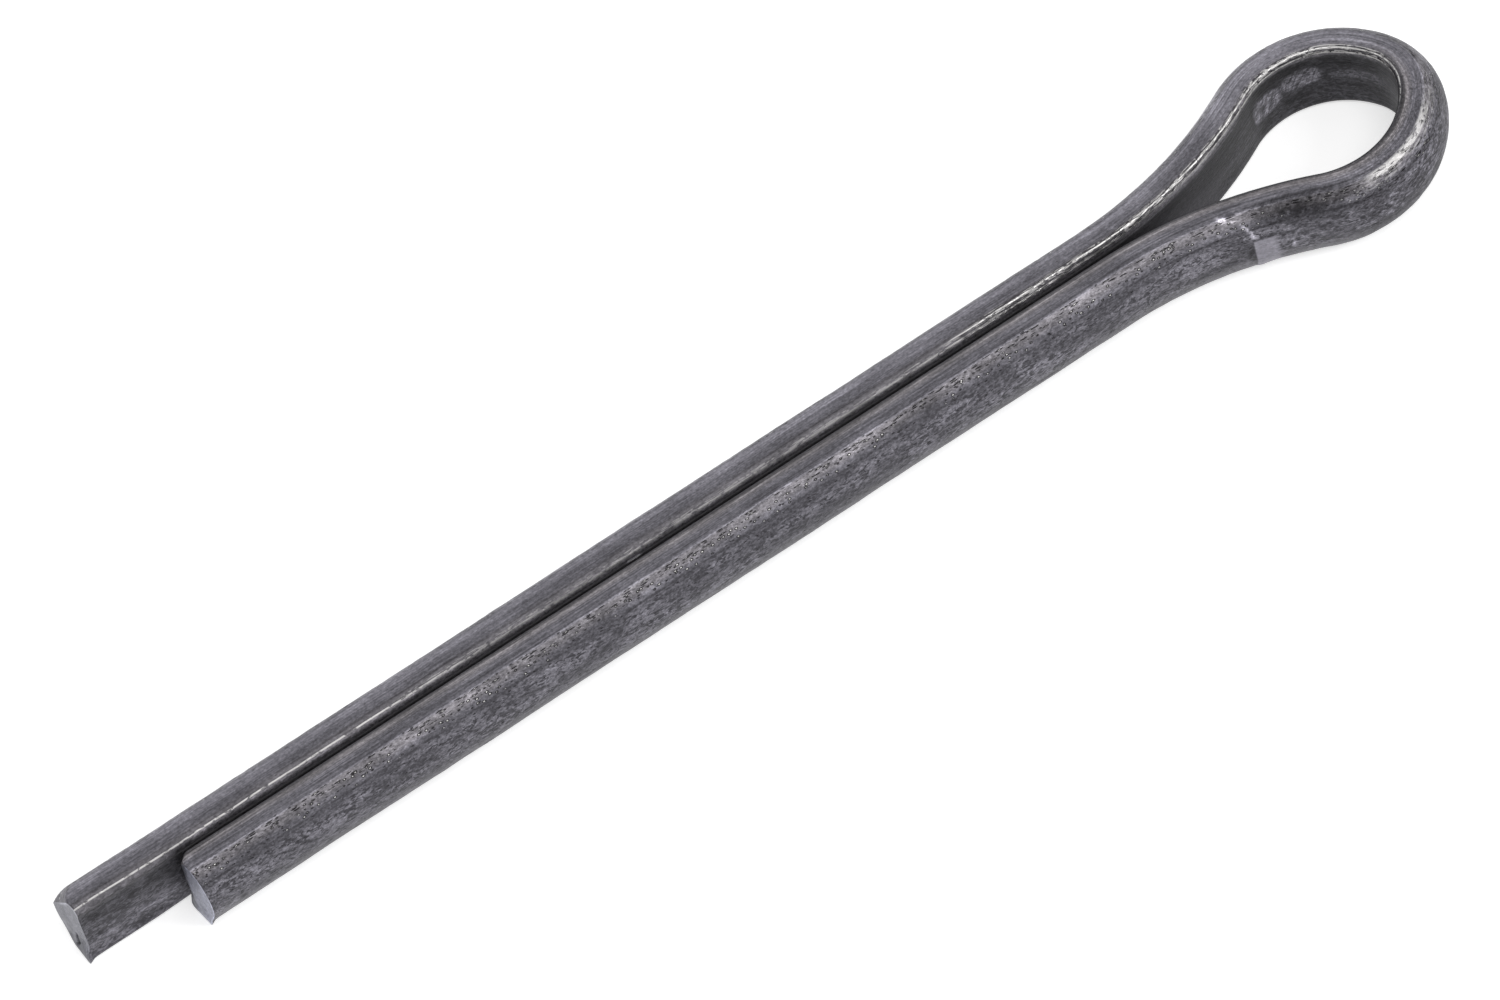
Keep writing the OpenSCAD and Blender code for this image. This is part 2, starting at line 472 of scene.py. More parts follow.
class SkinTree(Tree):
    """Tree of the skin's material. It knows its place on the unrolled wire, and masks and mottles by it."""

    def __init__(self, tree: bpy.types.NodeTree) -> None:
        """Reads the unrolled map, whose place round the wire sways a little, and adds the masks and mottles.

        Args:
            tree: The material's node tree.
        """
        super().__init__(tree)
        chart = self.scaled(self.add("ShaderNodeUVMap", {"uv_map": CHART}), 1 / CHART_PER_MM)
        self.along, self.around = self.add("ShaderNodeSeparateXYZ", None, Vector=chart).outputs[:2]
        self.around = self.total(self.around, (self.swing(self.drawn(SWAY)), 0.16))
        self.masks = self.zones()
        self.grains = self.mottles()
        self.pit, self.glint = self.holes()

    def spot(self, grain: Noise | Cells, apart: float, along: Socket | None = None) -> Socket:
        """Gives the grain's place in a texture, at a depth that its seed sets."""
        x = self.product(self.along if along is None else along, grain.along)
        return self.xyz(x, self.product(self.around, grain.around), grain.seed * apart)

    def drawn(self, noise: Noise, along: Socket | None = None) -> Socket:
        """Adds a noise, which is about 0.5 on average. It can lie by another place along the wire."""
        node = self.add("ShaderNodeTexNoise", None, Vector=self.spot(noise, NOISE_APART, along), Scale=1.0,
                        Detail=noise.detail, Roughness=noise.roughness, Distortion=noise.distortion)
        return node.outputs[0]

    def scattered(self, cells: Cells) -> Socket:
        """Gives the distance from the nearest cell's middle, or more than 1 where it doesn't count."""
        cell = self.add("ShaderNodeTexVoronoi", None, Vector=self.spot(cells, CELLS_APART), Scale=1.0).outputs
        pick = self.add("ShaderNodeSeparateColor", None, Color=cell["Color"]).outputs[0]
        return self.math("ADD", cell["Distance"], self.math("GREATER_THAN", pick, cells.chosen))

    def zones(self) -> Masks:
        """Masks the sides, the stretches, the patches, and the zones that are made of them."""
        along, around = self.along, self.around
        masks = {name: self.window(around, span) for name, span in SIDES.items()}
        masks |= {name: self.window(along, span) for name, span in STRETCHES.items()}
        for name, patch in PATCHES.items():
            masks[name] = self.product(self.window(around, patch.around), self.window(along, patch.along))
        masks["long"] = self.ramp(along, -4.0, 4.0)
        masks["inner"] = self.ramp(around, -1.55, -1.9)
        masks["cut"] = self.math("GREATER_THAN", self.math("ABSOLUTE", along), FACE_FROM)
        # Painted shade on the inner wall of the eye, growing darker further down it
        deeper_shade = self.ramp(around, -4.1, -4.5, 1.0, 1.35)
        masks["hollow"] = self.product(self.ramp(around, -1.7, -1.95), deeper_shade, masks["bow"])
        masks["pressed"] = self.product(self.ramp(along, -16.26, -16.18), self.ramp(along, -14.5, -15.1),
                                        self.window(around, PRESSED_SIDE))
        drift = self.math("SUBTRACT", around, self.ramp(along, 58.0, 76.0, 0.0, 0.12))
        lines = self.largest(self.window(drift, LEG_LINE), masks["eye_line"])
        lines = self.product(lines, self.ramp(along, -6.0, 0.0, 0.0, 0.9))
        masks["rubbed"] = self.largest(lines, self.product(masks["tip_rub_and_highlight"], 0.6))
        worn = self.product(self.window(drift, WORN_EDGE.around), self.window(along, WORN_EDGE.along))
        # The chips are partly wear and partly a painted highlight on the top inner edges and the tip
        edge = self.product(masks["edge"], self.ramp(along, 18.0, 26.0, 0.62, 0.40))
        masks["chipped"] = self.largest(edge, self.product(self.largest(masks["tip_shine"], worn), 0.25))
        return masks

    def mottles(self) -> Masks:
        """Adds the noises, and what is made of them."""
        grains = {name: self.drawn(noise) for name, noise in GRAINS.items()}
        grains["scale"] = self.ramp(grains["fleck"], 0.40, 0.60)
        grains["curl"] = self.ramp(self.math("ABSOLUTE", self.swing(grains["fleck"])), 0.035, 0.0)
        threads = self.ramp(grains["threads"], 0.46, 0.56)
        grains["spark"] = self.product(threads, self.ramp(grains["breaks"], 0.40, 0.50))
        slant = self.total(self.along, (self.around, 0.6))
        grains["hatch"] = self.ramp(self.drawn(HATCH, slant), 0.34, 0.60)
        return grains

    def holes(self) -> tuple[Socket, Socket]:
        """Adds the pits, which are painted dark as painted shade in them, and the glints inside some of them,
        which are painted highlights.
        """
        masks = self.masks
        dashes, deep, small = (self.scattered(cells) for cells in (DASHES, DEEP_PITS, SMALL_PITS))
        crowd = self.ramp(self.grains["patch"], 0.32, 0.46)
        crowd = self.product(crowd, self.total(1.0, (masks["eye"], -0.7)))
        pitted = self.product(masks["pitted"], crowd)
        dashed = self.largest(masks["dashed"], self.product(masks["tip_dashed"], masks["tip"]))
        everywhere = self.total(0.15, (masks["outer"], 0.45))
        pit = self.largest(self.product(self.ramp(dashes, 0.34, 0.20), dashed),
                           self.product(self.ramp(deep, 0.36, 0.22), pitted),
                           self.product(self.ramp(small, 0.30, 0.12), everywhere))
        glint = self.largest(self.product(self.ramp(deep, 0.20, 0.12), pitted),
                             self.product(self.ramp(dashes, 0.15, 0.07), dashed))
        return self.math("SUBTRACT", pit, glint), glint

    def profile(self, stops: tuple[Stop, ...]) -> Socket:
        """Adds a colour ramp that runs once round the section.

        Args:
            stops: Shades by their place round the section, rising.

        Returns:
            The colour.
        """
        first, last = stops[0].u, stops[-1].u
        share = self.math("DIVIDE", self.math("SUBTRACT", self.around, first), last - first)
        node = self.add("ShaderNodeValToRGB", None, Fac=share)
        elements = node.color_ramp.elements
        while len(elements) < len(stops):
            elements.new(1.0)
        for element, stop in zip(elements, stops):
            element.position = (stop.u - first) / (last - first)
            element.color = stop.colour()
        return node.outputs[0]

    def speckle(self) -> Socket:
        """Adds up what the grains do to the brightness.

        Returns:
            The brightness, in stops.
        """
        masks, grains, swing = self.masks, self.grains, self.swing
        coarse = self.largest(masks["lit_lip"], masks["tip"])
        grit = self.total(2.6, (masks["outer"], 1.6), (masks["band"], -0.7), (coarse, 1.6))
        mottled = self.product(masks["mottled"], self.ramp(grains["patch"], 0.38, 0.60, 0.50, 1.40))
        open_wall = self.product(masks["inner"], self.math("SUBTRACT", 1.1, masks["gap"]))
        flecks = self.total(0.30, (masks["band"], 0.30), (mottled, 0.95), (open_wall, 0.9),
                            (self.product(masks["outer"], masks["eye"]), 0.15))
        curled = self.product(masks["mottled"], self.ramp(grains["patch"], 0.42, 0.56))
        curls = self.product(grains["curl"], curled, self.total(1.0, (masks["eye"], -0.5)))
        scored = self.product(masks["flat"], self.total(2.8, (masks["long"], -1.2)))
        drawn = self.math("ADD", scored, self.total(0.6, (masks["eye"], 0.5)))
        return self.total(
            self.product(swing(grains["grit"]), grit), (curls, 0.85), (swing(grains["scale"]), flecks),
            (swing(grains["patch"]), self.total(1.6, (masks["band"], 1.3))), (swing(grains["lines"]), drawn),
            (swing(grains["bands"]), self.total(0.5, (masks["eye"], 0.6))),
        )

    def shades(self) -> Socket:
        """Adds what the zones, the pits and the single marks do to the brightness.

        Returns:
            The brightness, in stops.
        """
        masks, grains = self.masks, self.grains
        crease = self.product(masks["crease"], self.ramp(grains["patch"], 0.40, 0.55))
        groove = self.product(masks["groove"], self.ramp(self.along, 31.0, 35.0))
        # Painted darker between the chips on the eye's inner top edge, so that its painted highlight breaks
        # up
        dull = self.product(masks["edge"], self.math("SUBTRACT", 1.0, grains["spark"]))
        stops = self.total(
            # The pits are painted darker, as painted shade in them
            self.speckle(), (self.pit, -2.3), (masks["hollow"], -1.1),
            (masks["shoulder"], self.total(-0.35, (masks["long"], 0.85))), (masks["eye_flat"], 0.28),
            # The eye's ridge is painted darker, as painted shade where it turns away from the light
            (masks["shaded_eye_ridge"], -0.25), (self.product(masks["outer"], masks["tip"]), -0.20),
            # The lip is painted lighter, as painted light on the long leg's inner wall
            (crease, -0.55), (groove, -0.45), (masks["lit_lip"], 1.45), (dull, -0.9),
        )
        stops = self.product(stops, self.total(1.0, (masks["pressed"], -0.7)))
        stain_and_light = self.add("ShaderNodeAttribute", {"attribute_name": STAIN_AND_LIGHT}).outputs["Fac"]
        return self.total(stops, (masks["pressed"], 1.35), (stain_and_light, self.total(0.5, (grains["hatch"], 0.8))))

    def bared(self) -> Socket:
        """Gives the share of bare metal: the broken rubbed lines, the chipped edges, which are partly a
        painted highlight, and the glints in the pits, which are painted highlights.
        """
        lines = self.product(self.masks["rubbed"], self.ramp(self.grains["lines"], 0.18, 0.38),
                             self.ramp(self.grains["fleck"], 0.38, 0.48))
        return self.largest(lines, self.product(self.masks["chipped"], self.grains["spark"]), self.glint)

    def height(self) -> Socket:
        """Adds up the fine relief.

        Returns:
            The height, in millimetres.
        """
        masks, grains = self.masks, self.grains
        rough = self.total(0.010, (masks["band"], 0.012), (masks["mottled"], 0.030), (masks["tip"], 0.025))
        grit = self.product(grains["grit"], self.total(0.006, (masks["outer"], 0.012)))
        return self.total(
            grit, (grains["fleck"], rough),
            (grains["lines"], self.total(0.010, (masks["outer"], -0.006))),
            (grains["bands"], self.product(masks["eye"], 0.030)),
            (self.product(masks["edge"], grains["spark"]), 0.020), (self.pit, -0.045),
        )


@dataclass(frozen=True)
class DullSteel:
    """Drawn steel wire with a dull grey skin, pitted outside and rubbed bright along its edges. Some of that
    brightness is painted highlight, and some darkening is painted shade.
    """

    metallic: float = 0.9
    roughness: float = 0.36
    bare: Colour = (0.62, 0.61, 0.60, 1.0)
    # The short end's cut face is painted lighter and bluer than the long end's: a painted reflection
    cut_short_with_reflection: Colour = (0.27, 0.275, 0.33, 1.0)
    cut_long: Colour = (0.185, 0.185, 0.21, 1.0)
    short_side: tuple[Stop, ...] = (
        Stop(-6.6, 0.30), Stop(-4.6, 0.30), Stop(-3.2, 0.40), Stop(-2.4, 0.30), Stop(-1.7, 0.22),
        Stop(-1.25, 0.22), Stop(-1.08, 0.31, 0.3), Stop(-0.97, 0.46, 0.35), Stop(-0.84, 0.425, 0.25),
        Stop(-0.6, 0.38), Stop(-0.2, 0.35), Stop(-0.12, 0.34), Stop(-0.06, 0.36), Stop(0.0, 0.47),
        Stop(0.12, 0.405, 0.2), Stop(0.50, 0.43, 0.2), Stop(0.80, 0.385), Stop(1.08, 0.345), Stop(1.2, 0.325),
        Stop(1.6, 0.345), Stop(2.5, 0.345), Stop(3.4, 0.335), Stop(5.5, 0.35), Stop(6.4, 0.36),
    )
    long_side: tuple[Stop, ...] = (
        Stop(-6.6, 0.34), Stop(-5.4, 0.355), Stop(-4.9, 0.375), Stop(-4.0, 0.31), Stop(-3.0, 0.28),
        Stop(-2.3, 0.265), Stop(-1.95, 0.285, 0.1), Stop(-1.75, 0.37, 0.15), Stop(-1.45, 0.39, 0.2),
        Stop(-1.2, 0.355, 0.15), Stop(-0.95, 0.365), Stop(-0.6, 0.385), Stop(-0.42, 0.42), Stop(-0.25, 0.44),
        Stop(0.0, 0.365), Stop(0.6, 0.42), Stop(1.3, 0.36), Stop(2.5, 0.39), Stop(5.5, 0.40), Stop(6.4, 0.36),
    )

    def material(self) -> bpy.types.Material:
        """Builds the material."""
        made = bpy.data.materials.new("dull_steel")
        made.use_nodes = True
        skin = SkinTree(made.node_tree)
        rough = skin.total(self.roughness, (skin.grains["fleck"], 0.20), (skin.masks["tip"], 0.08),
                           (skin.masks["rubbed"], -0.12))
        relief = skin.add("ShaderNodeBump", None, Strength=1.0, Distance=MM, Height=skin.height())
        shader = made.node_tree.nodes["Principled BSDF"].inputs
        shader["Metallic"].default_value = self.metallic
        for name, value in (("Base Color", self.colour(skin)), ("Roughness", rough), ("Normal", relief)):
            skin.feed(shader[name], value)
        return made

    def colour(self, skin: SkinTree) -> Socket:
        """Mixes the skin, the cut faces and the bare metal."""
        long = skin.masks["long"]
        sides = skin.mix(long, skin.profile(self.short_side), skin.profile(self.long_side))
        base = skin.mix(skin.masks["cut"], sides, skin.mix(long, self.cut_short_with_reflection, self.cut_long))
        return skin.mix(skin.bared(), skin.scaled(base, skin.math("POWER", 2.0, skin.shades())), self.bare)


@dataclass(frozen=True)
class PaleFloor:
    """White floor that keeps a soft shadow and shows as white from any side."""

    albedo: float = 0.8
    glow: float = 0.57

    def material(self) -> bpy.types.Material:
        """Builds the material."""
        made = bpy.data.materials.new("pale_floor")
        made.use_nodes = True
        tree = made.node_tree
        tree.nodes.remove(tree.nodes["Principled BSDF"])
        t = Tree(tree)
        matt = t.add("ShaderNodeBsdfDiffuse", None, Color=(self.albedo,) * 3 + (1.0,))
        glow = t.add("ShaderNodeEmission", None, Color=WHITE, Strength=t.product(t.seen(), self.glow))
        both = t.add("ShaderNodeAddShader", None, i0=matt, i1=glow)
        t.feed(tree.nodes["Material Output"].inputs["Surface"], both)
        return made


# ---------------------------------------------------------------- relief


def smooth(x: np.ndarray) -> np.ndarray:
    """Turns 0..1 into a soft step, and holds the ends."""
    x = np.clip(x, 0.0, 1.0)
    return x * x * (3 - 2 * x)


def bump(x: np.ndarray, middle: float, half: float) -> np.ndarray:
    """Gives 1 at the middle, falling softly to 0 at half a width on each side."""
    return smooth(1.0 - np.abs(x - middle) / half)


@dataclass(frozen=True)
class Grain:
    """Smooth random relief on the unrolled wire, which closes on itself round the section.

    Its grains have a length along the wire, a width round it and a height. Each further layer is
    half as coarse and half as high. The grain goes as far as the reach from the tip's middle.
    """

    seed: int
    along: float
    around: float
    height: float
    layers: int = 1
    reach: float = 100.0

    def at(self, t: np.ndarray, u: np.ndarray, girth: float) -> np.ndarray:
        """Gives the relief, between about -1 and 1 times the height.

        Args:
            t: Places along the wire.
            u: Places round the section.
            girth: Length once round the section.

        Returns:
            One value for each place.
        """
        total, weight = np.zeros(np.broadcast(t, u).shape), 0.0
        for layer in range(self.layers):
            share = 0.5**layer
            along, around = self.along * share, self.around * share
            rows, columns = int(2 * self.reach / along) + 4, max(3, round(girth / around))
            grid = np.random.default_rng(self.seed + layer).uniform(-1, 1, (rows, columns))
            x, y = np.broadcast_arrays((t + self.reach) / along, np.mod(u, girth) / girth * columns)
            i, j = np.floor(x).astype(int), np.floor(y).astype(int)
            fx, fy = smooth(x - i), smooth(y - j)
            i, j, k = i % (rows - 1), j % columns, (j + 1) % columns
            near = grid[i, j] * (1 - fy) + grid[i, k] * fy
            far = grid[i + 1, j] * (1 - fy) + grid[i + 1, k] * fy
            total += share * (near * (1 - fx) + far * fx)
            weight += share
        return self.height * (total / weight)


@dataclass(frozen=True)
class Pits:
    """Shallow pits and dents, longer along the wire than across it, in one band of the section."""

    seed: int
    count: int
    band: tuple[float, float]
    length: tuple[float, float]
    width: tuple[float, float]
    depth: tuple[float, float]
    reach: tuple[float, float] = (-83.0, 90.0)

    def at(self, t: np.ndarray, u: np.ndarray) -> np.ndarray:
        """Gives the depth below the skin as a negative height.

        Args:
            t: Places along the wire, one for each ring, rising.
            u: Places round the section, one for each spoke.

        Returns:
            Heights, rings by spokes.
        """
        rng = np.random.default_rng(self.seed)
        height = np.zeros((len(t), len(u)))
        for _ in range(self.count):
            middle, across = rng.uniform(*self.reach), rng.uniform(*self.band)
            long, wide = rng.uniform(*self.length) / 2, rng.uniform(*self.width) / 2
            deep, rim = rng.uniform(*self.depth), rng.uniform(0.0, 0.35)
            first, last = np.searchsorted(t, (middle - 2 * long, middle + 2 * long))
            near = np.where(np.abs(u - across) < 2 * wide)[0]
            if last <= first or len(near) == 0:
                continue
            x = (t[first:last, None] - middle) / long
            y = (u[None, near] - across) / wide
            r = np.sqrt(x * x + y * y)
            height[first:last, near] += deep * (rim * smooth(1 - np.abs(r - 1.25) / 0.5) - smooth(1.25 - r))
        return height


@dataclass(frozen=True)
class Mark:
    """One mark on the unrolled wire: a soft-edged spot, raised or sunk, lighter or darker than the skin.

    Its place is (t, u), its size the half length along the wire and the half width round it, and its
    turn is in degrees from the wire's line down the section. Stain 1 doubles the brightness, and the
    edge fades over the soft share of its size. Most marks are real stains and wear. A few are painted
    shade and one is a painted highlight, and their lists say which.
    """

    t: float
    u: float
    long: float
    wide: float
    height: float = 0.0
    stain_and_light: float = 0.0
    turn: float = 0.0
    soft: float = 0.45

    def at(self, t: np.ndarray, u: np.ndarray) -> np.ndarray:
        """Gives the mark's share at each place, from 0 outside to 1 inside."""
        cos, sin = math.cos(math.radians(self.turn)), math.sin(math.radians(self.turn))
        x = np.abs((t - self.t) * cos + (u - self.u) * sin) / self.long
        y = np.abs((u - self.u) * cos - (t - self.t) * sin) / self.wide
        return smooth((1.0 - (x**3 + y**3) ** (1 / 3)) / self.soft)


# Relief of the whole skin. The ridge's grain is a share of its wear, and the others are heights
SKIN_GRAINS = {
    "waves": Grain(11, 5.0, 2.2, 0.018), "dimples": Grain(12, 1.6, 0.8, 0.012, 2),
    "tooth": Grain(15, 0.6, 0.4, 0.008), "drawn": Grain(13, 3.0, 0.7, 0.005, 2),
    "inner": Grain(14, 1.2, 0.8, 0.006, 2), "ridge": Grain(16, 2.0, 6.0, 0.5),
}
# How far the edges of the single marks wander
RAGGED = Grain(17, 0.5, 0.4, 0.10, 2)
OUTER_PITS = (
    Pits(21, 260, (0.1, 0.9), (0.30, 0.70), (0.25, 0.40), (0.012, 0.035)),
    Pits(22, 500, (1.4, 4.6), (0.35, 0.90), (0.28, 0.50), (0.010, 0.030)),
    Pits(23, 60, (0.3, 5.0), (0.9, 2.4), (0.3, 0.6), (0.012, 0.03)),
)
# Beside the eye, where the forming tool gripped the short leg, and painted shade on the eye's near flank
FORMING_MARKS = (
    Mark(-17.80, -0.14, 0.20, 0.18, 0.03, 1.6), Mark(-17.48, 0.18, 0.20, 0.20, -0.06, 2.1),
    Mark(-17.02, 0.40, 0.22, 0.15, 0.02, 1.5), Mark(-17.10, -0.08, 0.22, 0.18, -0.07, -1.0),
    Mark(-16.40, 1.05, 0.40, 0.14, 0.0, 1.9, 52), Mark(-16.15, 1.50, 0.38, 0.14, 0.0, 1.7, 76),
    Mark(-16.46, 3.00, 0.18, 1.05, -0.03, -0.9), Mark(-13.95, 2.85, 0.16, 0.60, 0.0, 1.1),
    # The marks at t -13.00 are painted shade on the eye's near flank, which turns away from the light
    Mark(-13.85, 0.76, 0.16, 0.13, 0.0, 1.2), Mark(-13.00, 0.35, 3.8, 0.95, 0.0, -1.0),
    Mark(-13.00, 1.30, 2.6, 0.90, 0.0, -0.3),
)
# Short scratches on the outer side of the eye
WEB_SCRATCHES = (
    Mark(-8.35, 1.90, 0.55, 0.11, 0.0, 1.3, 30), Mark(-8.60, 2.40, 0.60, 0.11, 0.0, 1.2, 75),
    Mark(-7.60, 2.50, 0.45, 0.11, 0.0, 1.2, -12), Mark(-8.95, 2.90, 0.45, 0.11, 0.0, 1.2, 20),
    Mark(-8.10, 3.05, 0.40, 0.11, 0.0, 1.0, 65),
)
# Brushed patches inside the eye, and what lies round them, with a painted highlight on the eye's inner top
# edge
EYE_SCUFFS = (
    Mark(10.30, -3.66, 1.65, 1.00, 0.0, 2.1, 0, 0.25), Mark(7.25, -3.32, 1.70, 0.86, 0.0, 2.1, 0, 0.25),
    Mark(3.20, -3.50, 2.6, 0.45, 0.0, 1.1, 0, 0.6), Mark(11.80, -3.80, 0.30, 1.35, 0.0, -0.9),
    Mark(10.60, -5.15, 1.3, 0.25, 0.0, -0.7), Mark(7.60, -4.80, 1.4, 0.25, 0.0, -0.6),
    Mark(9.00, -2.15, 3.0, 0.32, 0.0, -1.0), Mark(3.00, -2.70, 2.6, 0.30, 0.0, -0.5),
    # The mark at t 12.25 is a painted highlight on the inner top edge, and the marks at t 11.45 and 13.20
    # darken the edge beside it
    Mark(12.25, -1.32, 0.60, 0.22, 0.02, 0.9), Mark(11.45, -1.25, 0.18, 0.30, -0.03, -1.2),
    Mark(13.20, -1.30, 0.18, 0.24, -0.03, -1.0),
)
# On the long leg and its end, and at the short leg's end
LEG_MARKS = (
    Mark(54.70, -2.10, 0.52, 0.18, 0.02, 5.0), Mark(22.75, -0.90, 0.14, 0.16, 0.0, 0.9),
    Mark(33.20, -1.50, 0.50, 0.20, -0.03, -0.7), Mark(89.80, -2.90, 0.55, 0.45, 0.0, -0.7),
    Mark(90.00, -4.35, 0.75, 0.20, -0.02, -0.9, 6), Mark(87.30, -2.90, 0.35, 0.50, 0.0, -0.6, 60),
    Mark(85.30, -2.90, 1.30, 0.65, 0.0, -0.5), Mark(86.20, -4.85, 1.60, 0.16, 0.0, 0.5, 3),
    Mark(88.00, -3.60, 0.90, 0.40, 0.0, -0.35), Mark(87.10, -5.65, 1.60, 0.30, 0.0, -0.5),
    Mark(88.90, -5.00, 0.60, 0.45, 0.0, 0.35), Mark(-83.50, 3.30, 0.95, 0.95, 0.0, 0.35, 0, 0.25),
    Mark(-82.35, 3.50, 0.16, 0.90, -0.02, -0.5, -8), Mark(-84.00, -0.75, 0.30, 0.18, 0.0, 0.6),
)


# ---------------------------------------------------------------- pieces


@dataclass(frozen=True)
class ShearedEnd:
    """Cut end of a leg. The shear rolls a top corner over, cuts aslant and drags out a burr below it."""

    rolled: Corner
    seed: int
    section: WireSection = WIRE
    roll_len: float = 1.5
    roll_drop: float = 0.65
    margin: float = 0.05
    slant: float = 0.36
    run_in: float = 1.5
    burr: float = 0.22
    sharp: float = 0.06
    crack_depth: float = 0.28
    crack_stain: float = -4.5
    rim_stain: float = 0.9
    foot_stain: float = -0.5
    # The dark strip on the short end's face is its rolled skin, with painted shade on it as well
    strip_skin_and_shade: float = -1.2
    rings: int = 16

    @property
    def out(self) -> float:
        """Gives 1 where the rolled corner is on the outer side, and -1 where it is on the inner face."""
        return self.rolled.value

    def shear(self, gone: np.ndarray, a: np.ndarray, z: np.ndarray) -> tuple[np.ndarray, np.ndarray]:
        """Rolls the top corner over, and sharpens and drags out the bottom corner across from it.

        Args:
            gone: Distance from the cut, for each ring.
            a: Distance out from the inner face, rings by spokes.
            z: Height, rings by spokes.

        Returns:
            The changed distances out and heights.
        """
        width = self.section.flat_width
        top, bottom = (width, 0.0) if self.out > 0 else (0.0, width)
        radius = (self.roll_len**2 + self.roll_drop**2) / (2 * self.roll_drop)
        near = np.clip(self.roll_len - gone, 0.0, None)[:, None]
        drop = radius - np.sqrt(radius**2 - near**2)
        over = (self.out * (a - top) + (z - self.section.height)) / math.sqrt(2) + drop
        soft = 0.12 * smooth(near / 0.3) + 1e-6
        cut = np.where(near > 0, 0.5 * (over + np.sqrt(over**2 + soft**2)) - 0.5 * soft, 0.0)
        cut = np.clip(cut, 0.0, None) / math.sqrt(2)
        a, z = a - self.out * cut, z - cut
        low = smooth(1.0 - z / 0.7) * smooth(1.0 - self.out * (a - bottom) / 0.6)
        sharp = smooth((8.0 - gone) / 4.0)[:, None] * self.sharp
        return a - self.out * low * (sharp + self.burr * np.exp(-((gone[:, None] / 0.28) ** 2))), z

    def back(self, a: np.ndarray, z: np.ndarray) -> np.ndarray:
        """Gives how far the slanted cut lies behind the leg's full length. It is straighter at the bottom.

        Args:
            a: Distances out.
            z: Heights.

        Returns:
            The distances back along the wire.
        """
        share, risen = np.clip(a / self.section.thickness, 0.0, 1.0), smooth(z / 1.4)
        if self.out > 0:
            return self.margin + self.slant * (1.0 - share) * risen
        torn = 0.34 * smooth(1.0 - a / 0.7) * smooth(z / 2.0)
        return self.margin + self.slant * share * (0.6 + 0.4 * risen) + torn

    def face(self, a: np.ndarray, z: np.ndarray) -> list[tuple[np.ndarray, ...]]:
        """Lists the rings of the cut face, from the rim to the middle.

        Args:
            a: Distance out, round the rim.
            z: Height, round the rim.

        Returns:
            For each ring, distances out, heights, how far each point lies back, and the stains.
        """
        middle_a, middle_z = self.section.thickness * 0.46, self.section.height * 0.47
        phase = np.random.default_rng(self.seed).uniform(0, 6.28, 5)
        found = []
        for ring in range(self.rings + 1):
            k = 1 - (ring / self.rings) ** 1.2
            ra, rz = middle_a + (a - middle_a) * k, middle_z + (z - middle_z) * k
            low = smooth(1.2 - rz / 2.4)
            torn = 0.03 * np.sin(7 * ra + 3.1 * rz + phase[0]) + 0.02 * np.sin(5 * rz - 4 * ra + phase[1])
            lines = 0.010 * (1 - low) * np.sin(22 * (self.out * ra - 0.4 * rz) + phase[2])
            back = self.back(ra, rz) + (low * torn + lines) * smooth((1 - k) / 0.3) - 0.04 * (1 - k * k)
            crack = self.crack(ra, rz, phase)
            stain_and_light = self.face_stain(ra, rz, k) + self.crack_stain * crack
            found.append((ra, rz, back + self.crack_depth * crack, stain_and_light))
        return found

    def crack(self, a: np.ndarray, z: np.ndarray, phase: np.ndarray) -> np.ndarray:
        """Gives the crack in the long end's face, as 1 at its middle and 0 outside it."""
        wander = 1.02 + 0.10 * np.sin(2.6 * z + phase[3]) + 0.06 * np.sin(8.0 * z + phase[4])
        across = smooth(1.0 - np.abs(a - wander) / 0.13)
        return across * smooth((0.65 - np.abs(z - 1.0)) / 0.3) * (self.out > 0)

    def face_stain(self, a: np.ndarray, z: np.ndarray, k: float) -> np.ndarray:
        """Gives the stains of one ring of the face: a pale rim, and a dark foot on the long end or a dark
        strip on the short end, where the rolled skin is darkened further by painted shade.

        Args:
            a: Distances out.
            z: Heights.
            k: The ring's size, as a share of the rim's.

        Returns:
            The stains.
        """
        if self.out > 0:
            rim = smooth((k - 0.86) / 0.10) * smooth((z - 3.2) / 0.8)
            return self.rim_stain * rim + self.foot_stain * smooth((1.6 - z) / 1.6)
        strip = smooth(1.0 - (a - 0.45 - 0.08 * z) / 0.25)
        return self.rim_stain * smooth((k - 0.88) / 0.10) * (1.0 - strip) + self.strip_skin_and_shade * strip


@dataclass
class Rings:
    """The worn wire, as rings of spokes.

    Each ring has its point on the path, its outward direction and its place t along the wire, and
    each spoke its place u round the section. Rings by spokes, `a` is the distance out from the
    inner face, `z` the height, `shift` the way along the wire and `stain_and_light` the stops of brightness,
    from real stains at most marks and from painted shade and highlights at a few.
    """

    points: np.ndarray
    outward: np.ndarray
    t: np.ndarray
    u: np.ndarray
    girth: float
    a: np.ndarray
    z: np.ndarray
    shift: np.ndarray
    stain_and_light: np.ndarray


